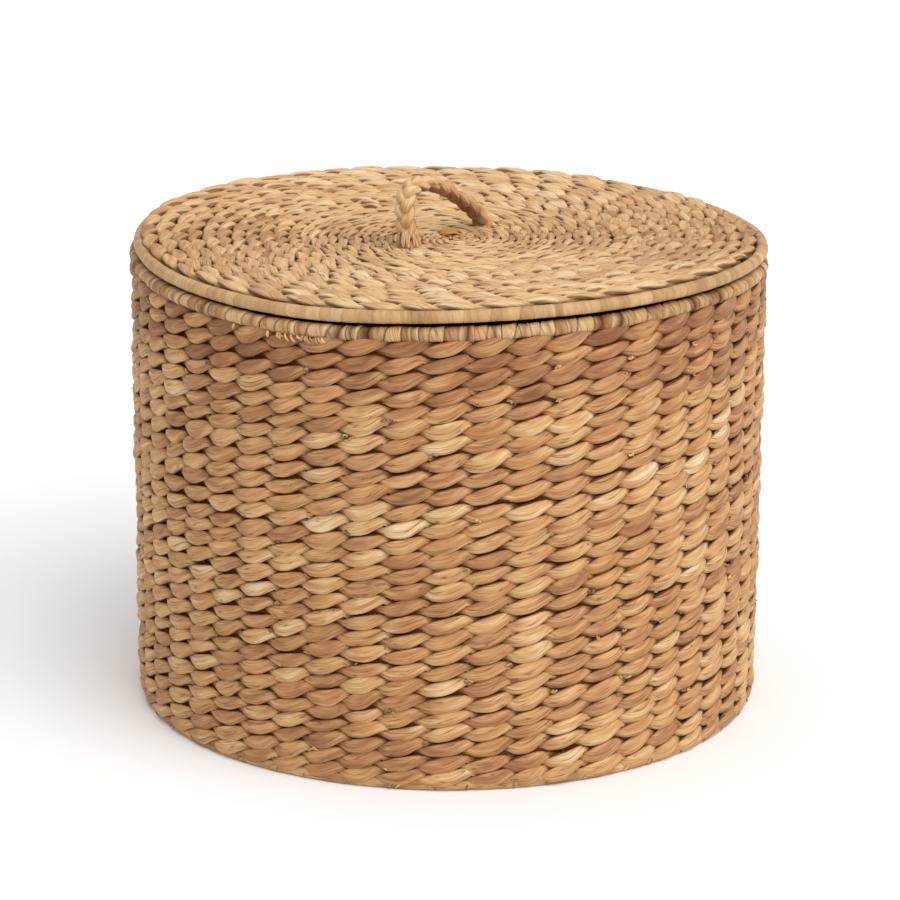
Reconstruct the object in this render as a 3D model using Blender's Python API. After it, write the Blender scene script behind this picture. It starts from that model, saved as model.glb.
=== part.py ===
"""Round lidded storage basket, twined in seagrass over a welded wire frame.

Units are metres, +Z is up, and the origin is the centre of the foot, on the floor.
The basket, its lift-off lid and the plaited loop handle are separate bodies. Each woven or bound
solid is cut by its wire frame, grown by GAP, so that the wires lie in channels of their own.
"""
import math

import bmesh
import bpy
from mathutils import Matrix, Vector

# Driving dimensions
RIM_RADIUS = 0.225
FOOT_RADIUS = 0.222
WALL_LEAN = 0.0015
WALL_TOP = 0.3150
WEAVE_THICKNESS = 0.0115
RIM_ROLL_WIDTH = 0.0135
RIM_ROLL_HEIGHT = 0.0085
BASE_THICKNESS = 0.0100
GAP = 0.0003

# Basket frame
STAKES = 50
WIRE_RADIUS = 0.00125
HOOP_RADIUS = 0.0018
BASE_SPOKES = 10
BASE_HUB_RADIUS = 0.022
BASE_WIRE_HEIGHT = 0.0052

# Lid
LID_RADIUS = 0.2225
LID_ROLL_WIDTH = 0.0090
LID_ROLL_HEIGHT = 0.0080
LID_WEAVE_THICKNESS = 0.0088
LID_LONG_SPOKES = 12
LID_HUB_RADIUS = 0.016
LID_MIDDLE_RADIUS = 0.112
LID_FIRST_SPOKE = math.radians(4)

# Handle: a three-strand plait that arches between two feet on the lid. The arch is a smooth curve
# through points given as a share of the way from foot A to foot B, and a height above the lid.
FOOT_A = Vector((-0.030, -0.029, 0.0))
FOOT_B = Vector((0.027, 0.039, 0.0))
ARCH_POINTS = (
    (0.02, 0.0068), (-0.01, 0.0165), (-0.01, 0.0265), (0.03, 0.0345), (0.12, 0.0382), (0.26, 0.0380),
    (0.41, 0.0350), (0.56, 0.0300), (0.71, 0.0235), (0.86, 0.0150), (0.98, 0.0068),
)
HINGE_ABOVE_LID = 0.0030
PLAIT_TURNS = 2.5
PLAIT_START = 0.08
PLAIT_WIDTH = 0.0054
PLAIT_DEPTH = 0.0035
STRAND_RADIUS = 0.0018
TAIL_RADIUS = 0.0035
KNOT_RADIUS = 0.0095
KNOT_HEIGHT = 0.0070
HOLE_OVERSHOOT = 0.0100

# Roundness. FIRST_CORNER turns a section by a share of one side, to keep its corners off its axes.
WIRE_SIDES = 6
ROLL_SIDES = 8
FIRST_CORNER = 0.3
SKIN_STEPS = 60
PLAIT_STEPS = 32
TAIL_SIDES = 12
KNOT_RINGS = 6
SHARP_ANGLE = math.radians(40)
ON_AXIS = 1e-9
SLOPE_STEP = 0.01

# Derived places
STAKE_CIRCLE = RIM_RADIUS - RIM_ROLL_WIDTH / 2
RIM_CENTRE = WALL_TOP + GAP + RIM_ROLL_HEIGHT / 2
LID_FLOOR = WALL_TOP + 2 * GAP + RIM_ROLL_HEIGHT
LID_HOOP_CIRCLE = LID_RADIUS - LID_ROLL_WIDTH / 2
LID_HOOP_HEIGHT = LID_FLOOR + LID_ROLL_HEIGHT / 2
LID_WEAVE_RADIUS = LID_RADIUS - LID_ROLL_WIDTH - GAP
LID_TOP = LID_FLOOR + LID_WEAVE_THICKNESS

STRAW = (0.56, 0.40, 0.23)
PALE_STRAW = (0.66, 0.50, 0.31)
BROWN_STRAW = (0.42, 0.27, 0.15)
GREY_WIRE = (0.32, 0.31, 0.30)


def clear_scene():
    for existing in list(bpy.data.objects):
        bpy.data.objects.remove(existing, do_unlink=True)


def make_material(name, colour, roughness, metallic=0.0):
    material = bpy.data.materials.new(name)
    material.use_nodes = True
    shader = material.node_tree.nodes["Principled BSDF"]
    shader.inputs["Base Color"].default_value = (*colour, 1.0)
    shader.inputs["Roughness"].default_value = roughness
    shader.inputs["Metallic"].default_value = metallic
    return material


def add_object(name, mesh_builder, material=None):
    """Turn a bmesh into a named object with its normals facing out and its round sides smooth."""
    bmesh.ops.recalc_face_normals(mesh_builder, faces=mesh_builder.faces)
    mesh = bpy.data.meshes.new(name)
    mesh_builder.to_mesh(mesh)
    mesh_builder.free()
    mesh.shade_smooth()
    mesh.set_sharp_from_angle(angle=SHARP_ANGLE)
    if material:
        mesh.materials.append(material)
    part = bpy.data.objects.new(name, mesh)
    bpy.context.scene.collection.objects.link(part)
    return part


def mark_as_cutter(part):
    part.hide_render = True
    part.display_type = "WIRE"
    return part


def cut(part, cutter):
    """Subtract a closed cutter from a part."""
    modifier = part.modifiers.new("cut_" + cutter.name, "BOOLEAN")
    modifier.operation = "DIFFERENCE"
    modifier.solver = "EXACT"
    modifier.object = cutter


def join(part, other):
    """Weld another closed body on to a part."""
    modifier = part.modifiers.new("weld_" + other.name, "BOOLEAN")
    modifier.operation = "UNION"
    modifier.solver = "EXACT"
    modifier.object = other


def revolve(outline, steps):
    """Close a ring or a disc from an outline of (radius, height) points turned about Z.

    Outline points at radius zero become single poles.
    """
    builder = bmesh.new()
    rings = []
    for radius, height in outline:
        if radius < ON_AXIS:
            rings.append([builder.verts.new((0.0, 0.0, height))] * steps)
            continue
        ring = []
        for step in range(steps):
            angle = 2 * math.pi * step / steps
            ring.append(builder.verts.new((radius * math.cos(angle), radius * math.sin(angle), height)))
        rings.append(ring)
    closed = outline[0][0] > ON_AXIS
    pairs = list(zip(rings, rings[1:]))
    if closed:
        pairs.append((rings[-1], rings[0]))
    for lower, upper in pairs:
        for step in range(steps):
            following = (step + 1) % steps
            corners = [lower[step], lower[following], upper[following], upper[step]]
            builder.faces.new(dict.fromkeys(corners))
    return builder


def oval(radius, height, half_width, half_height, sides):
    """Outline points of an oval section centred at (radius, height)."""
    points = []
    for side in range(sides):
        angle = 2 * math.pi * (side + FIRST_CORNER) / sides
        points.append((radius + half_width * math.cos(angle), height + half_height * math.sin(angle)))
    return points


def hoop(radius, height, wire, steps):
    """A wire ring about Z."""
    return revolve(oval(radius, height, wire, wire, WIRE_SIDES), steps)


def add_wire(builder, start, end, radius):
    """Add a straight round wire between two points to a bmesh."""
    run = end - start
    turn = run.to_track_quat("Z", "Y").to_matrix().to_4x4()
    place = Matrix.Translation((start + end) / 2) @ turn
    bmesh.ops.create_cone(
        builder, cap_ends=True, segments=WIRE_SIDES, radius1=radius, radius2=radius,
        depth=run.length, matrix=place,
    )


def on_circle(radius, angle, height):
    return Vector((radius * math.cos(angle), radius * math.sin(angle), height))


def stake_angle(index):
    """Direction of one stake; half a step off the X axis, so that the stakes miss the hoops' corners."""
    return 2 * math.pi * (index + 0.5) / STAKES


def basket_wires(name, grow, material=None):
    """The welded cage: rim hoop, foot hoop, hub ring, stakes and base spokes, grown by a clearance."""
    cage = add_object(name, hoop(STAKE_CIRCLE, RIM_CENTRE, HOOP_RADIUS + grow, STAKES), material)
    foot_hoop = hoop(STAKE_CIRCLE, BASE_WIRE_HEIGHT, HOOP_RADIUS + grow, STAKES)
    hub_ring = hoop(BASE_HUB_RADIUS, BASE_WIRE_HEIGHT, HOOP_RADIUS + grow, 2 * BASE_SPOKES)
    stakes = bmesh.new()
    for index in range(STAKES):
        angle = stake_angle(index)
        foot = on_circle(STAKE_CIRCLE, angle, BASE_WIRE_HEIGHT)
        add_wire(stakes, foot, on_circle(STAKE_CIRCLE, angle, RIM_CENTRE), WIRE_RADIUS + grow)
    spokes = bmesh.new()
    for index in range(BASE_SPOKES):
        angle = stake_angle(index * STAKES // BASE_SPOKES)
        inner = on_circle(BASE_HUB_RADIUS, angle, BASE_WIRE_HEIGHT)
        add_wire(spokes, inner, on_circle(STAKE_CIRCLE, angle, BASE_WIRE_HEIGHT), WIRE_RADIUS + grow)
    for label, piece in (("stakes", stakes), ("foot_hoop", foot_hoop), ("spokes", spokes), ("hub", hub_ring)):
        join(cage, mark_as_cutter(add_object(name + "_" + label, piece)))
    return cage


def lid_wires(name, grow, material=None):
    """The welded wheel: hoop, middle ring, hub ring, long and short spokes, grown by a clearance."""
    wire = WIRE_RADIUS + grow
    wheel = add_object(name, hoop(LID_HOOP_CIRCLE, LID_HOOP_HEIGHT, HOOP_RADIUS + grow, STAKES), material)
    middle_ring = hoop(LID_MIDDLE_RADIUS, LID_HOOP_HEIGHT, wire, 2 * LID_LONG_SPOKES)
    hub_ring = hoop(LID_HUB_RADIUS, LID_HOOP_HEIGHT, wire, LID_LONG_SPOKES)
    long_spokes = bmesh.new()
    for index in range(LID_LONG_SPOKES):
        angle = LID_FIRST_SPOKE + 2 * math.pi * index / LID_LONG_SPOKES
        inner = on_circle(LID_HUB_RADIUS, angle, LID_HOOP_HEIGHT)
        add_wire(long_spokes, inner, on_circle(LID_HOOP_CIRCLE, angle, LID_HOOP_HEIGHT), wire)
    short_spokes = bmesh.new()
    for index in range(LID_LONG_SPOKES):
        angle = LID_FIRST_SPOKE + 2 * math.pi * (index + 0.5) / LID_LONG_SPOKES
        inner = on_circle(LID_MIDDLE_RADIUS, angle, LID_HOOP_HEIGHT)
        add_wire(short_spokes, inner, on_circle(LID_HOOP_CIRCLE, angle, LID_HOOP_HEIGHT), wire)
    pieces = (("middle", middle_ring), ("long", long_spokes), ("short", short_spokes), ("hub", hub_ring))
    for label, piece in pieces:
        join(wheel, mark_as_cutter(add_object(name + "_" + label, piece)))
    return wheel


def build_basket(materials):
    """Wall, base, rim binding and frame: the body that stands on the floor."""
    basket_wires("basket_frame", 0.0, materials["wire"])
    channels = mark_as_cutter(basket_wires("basket_channels", GAP))
    top_radius = FOOT_RADIUS + WALL_LEAN
    inner_radius = top_radius - WEAVE_THICKNESS
    wall_outline = [(inner_radius, 0.0), (FOOT_RADIUS, 0.0), (top_radius, WALL_TOP), (inner_radius, WALL_TOP)]
    wall = add_object("wall_weave", revolve(wall_outline, SKIN_STEPS), materials["weave"])
    base_radius = inner_radius - GAP
    base_outline = [(0.0, 0.0), (base_radius, 0.0), (base_radius, BASE_THICKNESS), (0.0, BASE_THICKNESS)]
    base = add_object("base_weave", revolve(base_outline, SKIN_STEPS), materials["weave"])
    rim_outline = oval(STAKE_CIRCLE, RIM_CENTRE, RIM_ROLL_WIDTH / 2, RIM_ROLL_HEIGHT / 2, ROLL_SIDES)
    rim = add_object("rim_binding", revolve(rim_outline, SKIN_STEPS), materials["rim"])
    for part in (wall, base, rim):
        cut(part, channels)


def build_lid(materials):
    """Flat weave, edge binding, frame and handle tails: the body that lifts off the rim."""
    lid_wires("lid_frame", 0.0, materials["wire"])
    channels = mark_as_cutter(lid_wires("lid_channels", GAP))
    disc = [(0.0, LID_FLOOR), (LID_WEAVE_RADIUS, LID_FLOOR), (LID_WEAVE_RADIUS, LID_TOP), (0.0, LID_TOP)]
    weave = add_object("lid_weave", revolve(disc, SKIN_STEPS), materials["weave"])
    edge = oval(LID_HOOP_CIRCLE, LID_HOOP_HEIGHT, LID_ROLL_WIDTH / 2, LID_ROLL_HEIGHT / 2, ROLL_SIDES)
    binding = add_object("lid_binding", revolve(edge, SKIN_STEPS), materials["edge"])
    for part in (weave, binding):
        cut(part, channels)
    for label, foot in (("a", FOOT_A), ("b", FOOT_B)):
        hole = mark_as_cutter(add_object("tail_hole_" + label, tail_plug(foot, GAP, HOLE_OVERSHOOT)))
        cut(weave, hole)
        tail = add_object("handle_tail_" + label, tail_plug(foot, 0.0, -GAP), materials["handle"])
        join(tail, mark_as_cutter(add_object("tail_knot_" + label, tail_knot(foot))))


def tail_plug(foot, grow, above):
    """The part of a tail that passes through the lid, from its knot to a height above the weave."""
    top = LID_TOP + above
    bottom = LID_FLOOR - KNOT_HEIGHT / 2
    builder = bmesh.new()
    middle = Matrix.Translation((foot.x, foot.y, (top + bottom) / 2))
    bmesh.ops.create_cone(
        builder, cap_ends=True, segments=TAIL_SIDES, radius1=TAIL_RADIUS + grow, radius2=TAIL_RADIUS + grow,
        depth=top - bottom, matrix=middle,
    )
    return builder


def tail_knot(foot):
    """The flattened knot of a tail, just under the weave."""
    centre_height = LID_FLOOR - 2 * GAP - KNOT_HEIGHT / 2
    builder = bmesh.new()
    size = Matrix.Diagonal((KNOT_RADIUS, KNOT_RADIUS, KNOT_HEIGHT / 2, 1.0))
    shape = Matrix.Translation((foot.x, foot.y, centre_height)) @ size
    bmesh.ops.create_uvsphere(builder, u_segments=TAIL_SIDES, v_segments=KNOT_RINGS, radius=1.0, matrix=shape)
    return builder


def smooth_value(values, share):
    """Read a Catmull-Rom curve through evenly spaced values at a share of its length."""
    last = len(values) - 1
    position = share * last
    index = min(int(position), last - 1)
    local = position - index
    before = values[max(index - 1, 0)]
    start = values[index]
    end = values[index + 1]
    after = values[min(index + 2, last)]
    slope = (end - before) / 2
    next_slope = (after - start) / 2
    rise = end - start
    return (
        start + slope * local
        + (3 * rise - 2 * slope - next_slope) * local ** 2
        + (slope + next_slope - 2 * rise) * local ** 3
    )


def arch_centre(share):
    """A point on the middle line of the arch."""
    along = smooth_value([point[0] for point in ARCH_POINTS], share)
    height = smooth_value([point[1] for point in ARCH_POINTS], share)
    return FOOT_A.lerp(FOOT_B, along) + Vector((0.0, 0.0, LID_TOP + height))


def plait_point(share, strand):
    """A point on one strand, which swings across the arch once while it passes over and under twice."""
    chord = (FOOT_B - FOOT_A).normalized()
    sideways = Vector((chord.y, -chord.x, 0.0))
    run = arch_centre(min(share + SLOPE_STEP, 1.0)) - arch_centre(max(share - SLOPE_STEP, 0.0))
    outward = sideways.cross(run).normalized()
    turn = 2 * math.pi * (PLAIT_TURNS * share + strand / 3 + PLAIT_START)
    across = PLAIT_WIDTH * math.sin(turn)
    over = PLAIT_DEPTH * math.sin(2 * turn)
    return arch_centre(share) + sideways * across + outward * over


def build_handle(materials):
    """Three strands that cross over and under each other, each with its origin on the leaning axis."""
    axis_point = (FOOT_A + FOOT_B) / 2 + Vector((0.0, 0.0, LID_TOP + HINGE_ABOVE_LID))
    pivot = bpy.data.objects.new("handle_pivot", None)
    pivot.location = axis_point
    bpy.context.scene.collection.objects.link(pivot)
    for strand in range(3):
        curve = bpy.data.curves.new("handle_strand", "CURVE")
        curve.dimensions = "3D"
        curve.bevel_depth = STRAND_RADIUS
        curve.bevel_resolution = 2
        curve.use_fill_caps = True
        spline = curve.splines.new("POLY")
        spline.points.add(PLAIT_STEPS)
        for index, point in enumerate(spline.points):
            place = plait_point(index / PLAIT_STEPS, strand) - axis_point
            point.co = (*place, 1.0)
        curve.materials.append(materials["handle"])
        part = bpy.data.objects.new("handle_strand_" + str(strand + 1), curve)
        part.parent = pivot
        bpy.context.scene.collection.objects.link(part)


def main():
    clear_scene()
    materials = {
        "weave": make_material("seagrass_weave", STRAW, 0.65),
        "rim": make_material("seagrass_rim", BROWN_STRAW, 0.65),
        "edge": make_material("seagrass_edge", PALE_STRAW, 0.6),
        "handle": make_material("seagrass_plait", STRAW, 0.6),
        "wire": make_material("frame_wire", GREY_WIRE, 0.4, 0.9),
    }
    build_basket(materials)
    build_lid(materials)
    build_handle(materials)


main()
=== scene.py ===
import math

import bpy
import numpy as np
from mathutils import Matrix, Vector


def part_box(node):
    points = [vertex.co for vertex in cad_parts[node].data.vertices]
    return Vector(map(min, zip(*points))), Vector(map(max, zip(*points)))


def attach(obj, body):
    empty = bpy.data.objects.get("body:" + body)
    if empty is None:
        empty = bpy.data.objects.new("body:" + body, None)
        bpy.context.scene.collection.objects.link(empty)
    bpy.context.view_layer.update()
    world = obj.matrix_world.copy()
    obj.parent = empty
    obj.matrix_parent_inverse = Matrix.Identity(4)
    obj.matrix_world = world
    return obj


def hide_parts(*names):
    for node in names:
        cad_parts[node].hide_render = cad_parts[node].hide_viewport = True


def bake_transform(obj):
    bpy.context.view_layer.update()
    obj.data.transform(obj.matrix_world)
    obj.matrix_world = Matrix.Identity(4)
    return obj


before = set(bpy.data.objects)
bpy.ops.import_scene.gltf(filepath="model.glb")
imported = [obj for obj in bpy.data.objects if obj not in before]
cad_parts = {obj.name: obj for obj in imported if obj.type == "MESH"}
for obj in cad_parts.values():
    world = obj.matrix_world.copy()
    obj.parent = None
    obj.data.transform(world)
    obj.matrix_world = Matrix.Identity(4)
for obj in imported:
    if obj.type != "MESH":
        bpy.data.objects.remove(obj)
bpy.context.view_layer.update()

# --------------------------------------------------
# Sizes, in metres, read from the frame where it has them
# --------------------------------------------------
RIM_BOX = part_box("rim_binding")
EDGE_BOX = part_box("lid_binding")
LID_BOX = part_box("lid_weave")
BASE_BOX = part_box("base_weave")

STAKES = 50
STAKE_CIRCLE = 0.21825
STAKE_WIRE = 0.00125
HOOP_WIRE = 0.0018

WALL_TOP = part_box("wall_weave")[1].z
WALL_FOOT = 0.0028
COURSES = 28
RIM_RADIUS = RIM_BOX[1].x
RIM_HEIGHT = (RIM_BOX[1].z + RIM_BOX[0].z) / 2 - 0.0014

LID_RADIUS = EDGE_BOX[1].x
LID_HOOP = LID_RADIUS - 0.0041
LID_WEAVE_RADIUS = LID_BOX[1].x
LID_FLOOR = LID_BOX[0].z
LID_TOP = LID_BOX[1].z
LID_MIDDLE = (LID_FLOOR + LID_TOP) / 2


class Twist:
    """The shape of one strand of a twined pair, for courses that are STANDARD_PITCH apart.

    swing and climb are how far the strand moves to either side of the stake, and up and down; over and
    cross are its half width and half thickness where it passes a stake and where the strands cross;
    roll is how far its section turns with the twist, from 0 to 1; rise lifts the crossings.
    """

    def __init__(self, swing, climb, over, cross, roll, rise):
        self.swing, self.climb, self.over, self.cross = swing, climb, over, cross
        self.roll, self.rise = roll, rise


STANDARD_PITCH = 0.01137
WALL_TWIST = Twist(swing=0.0027, climb=0.0026, over=(0.0061, 0.0029), cross=(0.0031, 0.0031),
                   roll=0.16, rise=0.0006)
LID_TWIST = Twist(swing=0.0022, climb=0.0022, over=(0.0059, 0.0029), cross=(0.0030, 0.0032),
                  roll=0.28, rise=0.0004)
FOLD_STRENGTH = 0.07


# --------------------------------------------------
# Numbers that vary smoothly
# --------------------------------------------------
def smooth_noise(position, seed, period=4096):
    """Random values from -1 to 1 at whole positions, joined smoothly. They repeat after a period."""
    table = np.random.default_rng(seed).uniform(-1.0, 1.0, period)
    cell = np.floor(position).astype(int)
    share = position - cell
    share = share * share * (3 - 2 * share)
    return table[cell % period] * (1 - share) + table[(cell + 1) % period] * share


def mix(start, end, share):
    return start + (end - start) * share


def smooth_step(low, high, value):
    share = np.clip((value - low) / (high - low), 0.0, 1.0)
    return share * share * (3 - 2 * share)


# --------------------------------------------------
# Directions and paths
# --------------------------------------------------
UP = np.array([0.0, 0.0, 1.0])


def full_turn(count):
    """Angles of a full turn, in equal steps."""
    return 2 * math.pi * np.arange(count) / count


def directions(angles):
    """Level vectors of length 1, away from the axis at some angles."""
    return np.stack([np.cos(angles), np.sin(angles), np.zeros_like(angles)], axis=-1)


def outward_and_along(angle):
    """Level vectors of length 1 at one angle: away from the axis, and counterclockwise round it."""
    cosine, sine = math.cos(angle), math.sin(angle)
    return np.array([cosine, sine, 0.0]), np.array([-sine, cosine, 0.0])


def unit(vectors):
    return vectors / np.linalg.norm(vectors, axis=1, keepdims=True)


def run_of(path):
    """Length of a path up to each of its points."""
    return np.concatenate([[0.0], np.cumsum(np.linalg.norm(np.diff(path, axis=0), axis=1))])


def smooth_curve(points, shares):
    """Catmull-Rom curve through the points, read at shares from 0 to 1."""
    points = np.asarray(points, float)
    last = len(points) - 1
    position = np.clip(shares, 0, 1) * last
    index = np.minimum(position.astype(int), last - 1)
    local = (position - index)[:, None]
    before = points[np.maximum(index - 1, 0)]
    start, end = points[index], points[index + 1]
    after = points[np.minimum(index + 2, last)]
    slope, next_slope, rise = (end - before) / 2, (after - start) / 2, end - start
    return (
        start + slope * local + (3 * rise - 2 * slope - next_slope) * local ** 2
        + (slope + next_slope - 2 * rise) * local ** 3
    )


# --------------------------------------------------
# The way the real basket is out of true
# --------------------------------------------------
# Waves of the rim and the lid, as (turns, cosine part, sine part) in metres at the edge.
RIM_WAVES = ((0, -0.0008, 0.0), (1, -0.0012, -0.0038), (2, 0.0006, -0.0026), (3, -0.0009, -0.0002))
LID_WAVES = ((0, -0.0007, 0.0), (1, -0.0004, -0.0047), (2, 0.0003, -0.0026), (3, -0.0009, -0.0002))
LID_SHIFT = 0.0013
LID_HOLLOW = 0.0010
# Where the lid's outermost rounds ride over its edge, and how far they go out and up there.
RIDE_ANGLE, RIDE_SPREAD = math.radians(10), 0.55
RIDE_OUT, RIDE_UP = 0.0034, 0.0016


def waves(angle, reach, parts):
    """Height of the waves in a direction, at a share of the way out to the edge."""
    lift = np.zeros_like(angle)
    for turns, cosine, sine in parts:
        lift += reach ** turns * (cosine * np.cos(turns * angle) + sine * np.sin(turns * angle))
    return lift


def settle_basket(points):
    """The rim is highest at the front right and lowest at the back right, and the wall follows it."""
    angle = np.arctan2(points[:, 1], points[:, 0])
    share = np.clip(points[:, 2] / WALL_TOP, 0.0, 1.0)
    points[:, 2] += share * waves(angle, 1.0, RIM_WAVES)
    return points


def settle_rounds(points):
    """The outermost rounds of the lid ride up over its edge at the left."""
    x, y = points[:, 0], points[:, 1]
    reach = np.hypot(x, y)
    turned = np.arctan2(y, -x) - RIDE_ANGLE
    share = np.exp(-(turned / RIDE_SPREAD) ** 2) * smooth_step(0.185, 0.212, reach)
    points[:, :2] *= (1 + RIDE_OUT * share / np.maximum(reach, 0.01))[:, None]
    points[:, 2] += RIDE_UP * share
    return settle_lid(points)


def settle_lid(points):
    """The lid is warped with the rim, a little hollow, and lies slightly off centre."""
    x, y = points[:, 0], points[:, 1]
    reach = np.hypot(x, y) / LID_RADIUS
    hollow = LID_HOLLOW * np.clip(1 - reach, 0.0, 1.0)
    points[:, 2] += waves(np.arctan2(y, x), reach, LID_WAVES) - hollow
    points[:, 0] += LID_SHIFT
    return points


# --------------------------------------------------
# Meshes
# --------------------------------------------------
class Weave:
    """Collects tubes of quads, with the values that their material reads, into one mesh."""

    def __init__(self):
        self.points, self.fibre, self.tint = [], [], []
        self.quads, self.strips, self.caps = [], [], []
        self.count = 0
        self.steps = 0

    def tube(self, rings, along, tint=(0.0, 0.0), seed=0, closed=False, shift=0, fibre=None):
        """Add a tube. rings is stations x sides x 3, along is the length so far at each station, and
        tint gives each point's tone, from -1 to 1, and how much painted shade it takes for lying deep,
        from 0 to 1. With a shift, the last side joins the first one that many stations further on, as in
        a winding."""
        stations, sides = rings.shape[:2]
        start = self.count
        self.points.append(rings.reshape(-1, 3))
        if fibre is None:
            fibre = self.strand_fibre(rings, along)
            fibre[:, :, 2] = seed
        self.fibre.append(fibre.reshape(-1, 3))
        self.tint.append(np.broadcast_to(tint, (stations, sides, 2)).reshape(-1, 2))
        rows = stations if closed else stations - 1
        station = np.repeat(np.arange(rows), sides)
        side = np.tile(np.arange(sides), rows)
        next_station = (station + 1) % stations
        next_side = (side + 1) % sides
        over = np.where(next_side == 0, shift, 0)
        quads = np.stack([
            station * sides + side, (station + over) % stations * sides + next_side,
            (next_station + over) % stations * sides + next_side, next_station * sides + side,
        ], axis=1) + start
        self.quads.append(quads)
        self.strips.append(np.stack([station + self.steps, side, np.full(len(side), sides)], axis=1))
        if not closed:
            self.caps.append(np.arange(sides)[::-1] + start)
            self.caps.append(np.arange(sides) + start + (stations - 1) * sides)
        self.count += stations * sides
        self.steps += rows

    @staticmethod
    def strand_fibre(rings, along):
        """Length along the strand and distance round it from its middle line, at each point."""
        sides = rings.shape[1]
        gaps = np.linalg.norm(np.diff(rings[:, list(range(sides)) + [0]], axis=1), axis=2)
        around = np.concatenate([np.zeros((len(rings), 1)), np.cumsum(gaps, axis=1)[:, :-1]], axis=1)
        fibre = np.zeros(rings.shape)
        fibre[:, :, 0] = along[:, None]
        fibre[:, :, 1] = np.abs(around - around.max(axis=1, keepdims=True) / 2)
        return fibre

    def finish(self, name, material, settle=None):
        """Make the object, with one face strip after another laid out in its OFBake map."""
        points = np.concatenate(self.points)
        if settle:
            points = settle(points)
        quads = np.concatenate(self.quads)
        loops = np.concatenate([quads.reshape(-1)] + self.caps)
        sizes = np.concatenate([np.full(len(quads), 4)] + [np.array([len(cap)]) for cap in self.caps])
        mesh = bpy.data.meshes.new(name)
        mesh.vertices.add(len(points))
        mesh.vertices.foreach_set("co", points.astype(np.float32).reshape(-1))
        mesh.loops.add(len(loops))
        mesh.loops.foreach_set("vertex_index", loops.astype(np.int32))
        mesh.polygons.add(len(sizes))
        starts = np.concatenate([[0], np.cumsum(sizes)[:-1]])
        mesh.polygons.foreach_set("loop_start", starts.astype(np.int32))
        mesh.update(calc_edges=True)
        fibre = mesh.attributes.new("fibre", "FLOAT_VECTOR", "POINT")
        fibre.data.foreach_set("vector", np.concatenate(self.fibre).astype(np.float32).reshape(-1))
        tint = np.concatenate(self.tint)
        # The second value is each point's share of painted shade.
        for index, label in enumerate(("tone", "painted_shade")):
            values = mesh.attributes.new(label, "FLOAT", "POINT")
            values.data.foreach_set("value", tint[:, index].astype(np.float32))
        self.lay_out(mesh, len(loops))
        mesh.shade_smooth()
        mesh.materials.append(material)
        piece = bpy.data.objects.new(name, mesh)
        bpy.context.scene.collection.objects.link(piece)
        return piece

    def lay_out(self, mesh, loop_count):
        """Cut the strips into rows that fill the unit square, in steps 9 times as high as wide."""
        strips = np.concatenate(self.strips)
        height_to_width, edge, margin = 9, 0.002, 0.06
        rows = max(1, round(math.sqrt(self.steps / height_to_width)))
        per_row = math.ceil(self.steps / rows)
        row, step = np.divmod(strips[:, 0], per_row)
        low, high = step / per_row, (step + 1) / per_row
        below = margin + (1 - 2 * margin) * strips[:, 1] / strips[:, 2]
        above = margin + (1 - 2 * margin) * (strips[:, 1] + 1) / strips[:, 2]
        u = edge + (1 - 2 * edge) * np.stack([low, low, high, high], axis=1)
        v = (row[:, None] + np.stack([below, above, above, below], axis=1)) / rows
        coordinates = np.zeros((loop_count, 2))
        flat = np.stack([u, v], axis=2).reshape(-1, 2)
        coordinates[:len(flat)] = flat
        layer = mesh.uv_layers.new(name="OFBake")
        layer.data.foreach_set("uv", coordinates.astype(np.float32).reshape(-1))


def tints(tone, painted_shade):
    """Tone and share of painted shade side by side, for the points of a tube."""
    return np.stack(np.broadcast_arrays(tone, painted_shade), axis=-1)


def section(angles, wide, thick, folds):
    """Offsets of a strand's section: a flattened round with soft lengthwise folds."""
    cosine, sine = np.cos(angles), np.sin(angles)
    power = 0.80
    across = np.sign(cosine) * np.abs(cosine) ** power * wide
    through = np.sign(sine) * np.abs(sine) ** power * thick
    return across * folds, through * folds


def fold_pattern(along, sides, seed, strength):
    """How the surface swells and sinks around a strand, drifting slowly along it."""
    angles, along = full_turn(sides)[None, :], along[:, None]
    twist = 9.0 * along + 1.4 * smooth_noise(along * 14, seed)
    swells = 0.45 * np.cos(3 * angles + twist + seed)
    swells = swells + 0.35 * np.cos(5 * angles - 1.7 * twist + 2.1 * seed)
    swells = swells + 0.35 * smooth_noise(along * 90 + 3.0 * np.cos(angles), seed + 5)
    return 1 + strength * swells


def strand_rings(path, wide_axis, flat_axis, sides, wide, thick, folds):
    """Sections of a strand along its path. Its half width and half thickness at each point lie along
    wide_axis and flat_axis there."""
    across, through = section(full_turn(sides)[None, :], wide[:, None], thick[:, None], folds)
    across, through = across[:, :, None], through[:, :, None]
    return path[:, None] + wide_axis[:, None] * across + flat_axis[:, None] * through


def hoop_rings(angles, reach, height):
    """Sections of a hoop round the axis, from how far out and how high their points are."""
    rings = directions(angles)[:, None] * reach[..., None]
    rings[:, :, 2] = height
    return rings


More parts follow.
